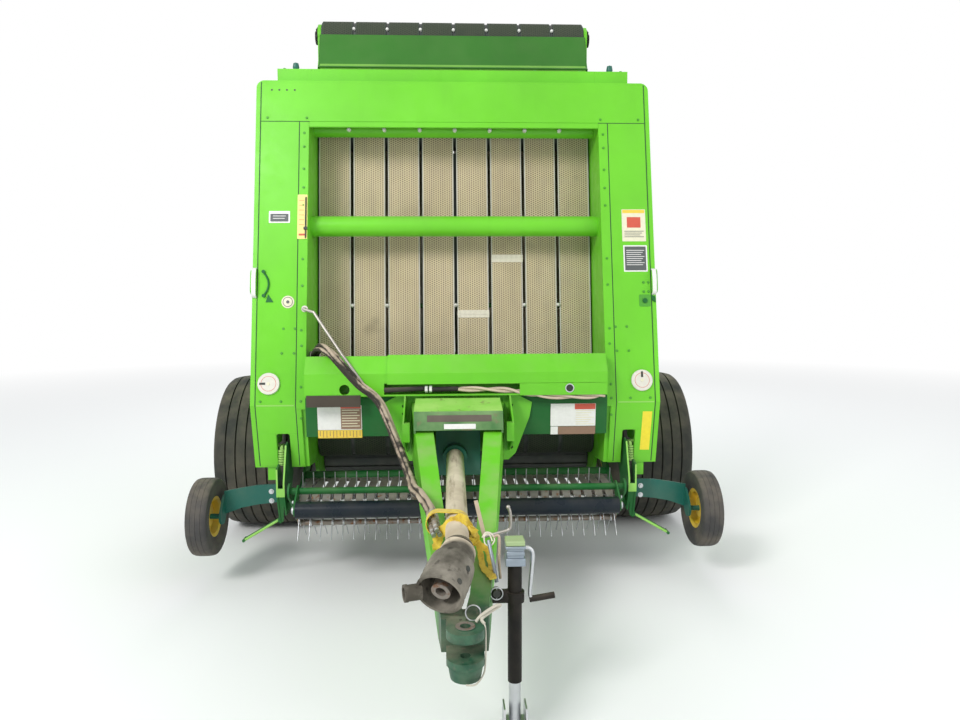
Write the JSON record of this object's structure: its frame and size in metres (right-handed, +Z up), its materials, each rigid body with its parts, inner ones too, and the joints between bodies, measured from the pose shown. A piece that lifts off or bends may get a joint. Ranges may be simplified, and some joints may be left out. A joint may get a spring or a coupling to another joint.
{
  "type": "round baler",
  "caption": "Towed round baler with a belt chamber, lifting rear gate, tined pickup with gauge wheels, side doors and a tongue jack.",
  "frame": {"origin": "middle of the machine's length and width, on the ground under the tyres and the jack's foot", "axes": "+Z up, +Y from the tongue to the rear gate, +X to the right as seen from the front"},
  "size_m": [2.98, 4.1298, 3.1413],
  "materials": {
    "green_paint": "gloss",
    "shade_green": "satin",
    "yellow_paint": "gloss",
    "black_paint": "satin",
    "belt_rubber": "matt",
    "tyre_rubber": "matt",
    "steel": "satin",
    "chrome_rod": "polished",
    "roll_steel": "satin",
    "guard_plastic": "matt",
    "dial_white": "matt",
    "hose_cover": "matt",
    "strap_webbing": "matt"
  },
  "bodies": {
    "root": {"side_wall_l": "green_paint", "side_wall_r": "green_paint", "front_face": "green_paint", "cross_tube": "green_paint", "lower_beam": "green_paint", "lower_panel": "shade_green", "side_frame_l": "green_paint", "side_frame_r": "green_paint", "top_frame": "green_paint", "upper_shield": "shade_green", "belts_front": "belt_rubber", "belt_rolls_front": "roll_steel", "floor_pan": "shade_green", "axle": "green_paint", "tongue": "green_paint", "tongue_hood": "green_paint", "gearbox": "shade_green", "drive_guard": "guard_plastic", "jack_tube": "black_paint", "face_fittings": "dial_white", "float_springs": "shade_green", "hoses": "hose_cover", "hose_fittings": "steel", "hose_strap": "strap_webbing"},
    "gate": {"gate_wall_l": "green_paint", "gate_wall_r": "green_paint", "gate_frame": "green_paint", "belts_rear": "belt_rubber", "belt_rolls_rear": "roll_steel"},
    "gate_barrel_l": {"barrel_l": "black_paint"},
    "gate_barrel_r": {"barrel_r": "black_paint"},
    "gate_rod_l": {"rod_l": "chrome_rod"},
    "gate_rod_r": {"rod_r": "chrome_rod"},
    "side_door_l": {"door_l": "green_paint"},
    "side_door_r": {"door_r": "green_paint"},
    "wheel_l": {"tyre_l": "tyre_rubber", "rim_l": "yellow_paint"},
    "wheel_r": {"tyre_r": "tyre_rubber", "rim_r": "yellow_paint"},
    "pickup": {"pickup_frame": "shade_green", "stripper_bands": "steel", "gauge_arms": "shade_green"},
    "gauge_wheel_l": {"gauge_tyre_l": "tyre_rubber", "gauge_rim_l": "yellow_paint"},
    "gauge_wheel_r": {"gauge_tyre_r": "tyre_rubber", "gauge_rim_r": "yellow_paint"},
    "pickup_reel": {"tine_reel": "steel"},
    "windguard": {"windguard_roller": "black_paint"},
    "jack_leg": {"jack_leg": "steel"},
    "shaft": {"drive_shaft": "roll_steel"},
    "yoke": {"drive_yoke": "roll_steel"},
    "starter": {"starter_roll": "roll_steel"}
  },
  "joints": [
    {"name": "gate_hinge", "type": "hinge", "parent": "root", "child": "gate", "pos_m": [0, 0.785, 2.78], "axis": [1, 0, 0], "range_deg": [0, 60]},
    {"name": "gate_barrel_l_pivot", "type": "hinge", "parent": "root", "child": "gate_barrel_l", "pos_m": [-0.93, 0.635, 1.5], "axis": [1, 0, 0], "range_deg": [0, 9]},
    {"name": "gate_rod_l_slide", "type": "slide", "parent": "gate_barrel_l", "child": "gate_rod_l", "axis": [0, 0.4315, 0.9021], "range_m": [0, 0.4]},
    {"name": "gate_barrel_r_pivot", "type": "hinge", "parent": "root", "child": "gate_barrel_r", "pos_m": [0.93, 0.635, 1.5], "axis": [1, 0, 0], "range_deg": [0, 9]},
    {"name": "gate_rod_r_slide", "type": "slide", "parent": "gate_barrel_r", "child": "gate_rod_r", "axis": [0, 0.4315, 0.9021], "range_m": [0, 0.4]},
    {"name": "side_door_l_hinge", "type": "hinge", "parent": "root", "child": "side_door_l", "pos_m": [-1.057, 0.787, 1.8], "axis": [0, 0, -1], "range_deg": [0, 100]},
    {"name": "wheel_l_spin", "type": "hinge", "parent": "root", "child": "wheel_l", "pos_m": [-1.217, 0.685, 0.4925], "axis": [1, 0, 0], "continuous": true},
    {"name": "gauge_wheel_l_spin", "type": "hinge", "parent": "pickup", "child": "gauge_wheel_l", "pos_m": [-1.305, -0.425, 0.365], "axis": [1, 0, 0], "continuous": true},
    {"name": "side_door_r_hinge", "type": "hinge", "parent": "root", "child": "side_door_r", "pos_m": [1.057, 0.787, 1.8], "axis": [0, 0, 1], "range_deg": [0, 100]},
    {"name": "wheel_r_spin", "type": "hinge", "parent": "root", "child": "wheel_r", "pos_m": [1.217, 0.685, 0.4925], "axis": [1, 0, 0], "continuous": true},
    {"name": "gauge_wheel_r_spin", "type": "hinge", "parent": "pickup", "child": "gauge_wheel_r", "pos_m": [1.305, -0.425, 0.365], "axis": [1, 0, 0], "continuous": true},
    {"name": "pickup_lift", "type": "hinge", "parent": "root", "child": "pickup", "pos_m": [0, 0.045, 0.625], "axis": [-1, 0, 0], "range_deg": [-20, 0]},
    {"name": "pickup_reel_spin", "type": "hinge", "parent": "pickup", "child": "pickup_reel", "pos_m": [0, -0.375, 0.385], "axis": [1, 0, 0], "continuous": true},
    {"name": "windguard_spin", "type": "hinge", "parent": "pickup", "child": "windguard", "pos_m": [0, -0.645, 0.454], "axis": [1, 0, 0], "continuous": true},
    {"name": "starter_spin", "type": "hinge", "parent": "root", "child": "starter", "pos_m": [0, 0.125, 0.56], "axis": [1, 0, 0], "continuous": true},
    {"name": "drive_shaft_spin", "type": "hinge", "parent": "root", "child": "shaft", "pos_m": [-0.017, -0.655, 0.711], "axis": [-0.0026, -0.9981, -0.0616], "continuous": true},
    {"name": "drive_yoke_spin", "type": "hinge", "parent": "root", "child": "yoke", "pos_m": [-0.02, -1.805, 0.64], "axis": [-0.3298, -0.8519, -0.4067], "continuous": true},
    {"name": "jack_slide", "type": "slide", "parent": "root", "child": "jack_leg", "axis": [0, 0, 1], "range_m": [0, 0.15]}
  ],
  "couplings": [
    {"joint": "gate_barrel_l_pivot", "follows": "gate_hinge", "ratio": 0.133},
    {"joint": "gate_rod_l_slide", "follows": "gate_hinge", "m_per_rad": 0.3608},
    {"joint": "gate_barrel_r_pivot", "follows": "gate_hinge", "ratio": 0.133},
    {"joint": "gate_rod_r_slide", "follows": "gate_hinge", "m_per_rad": 0.3608},
    {"joint": "drive_yoke_spin", "follows": "drive_shaft_spin", "ratio": 1}
  ]
}
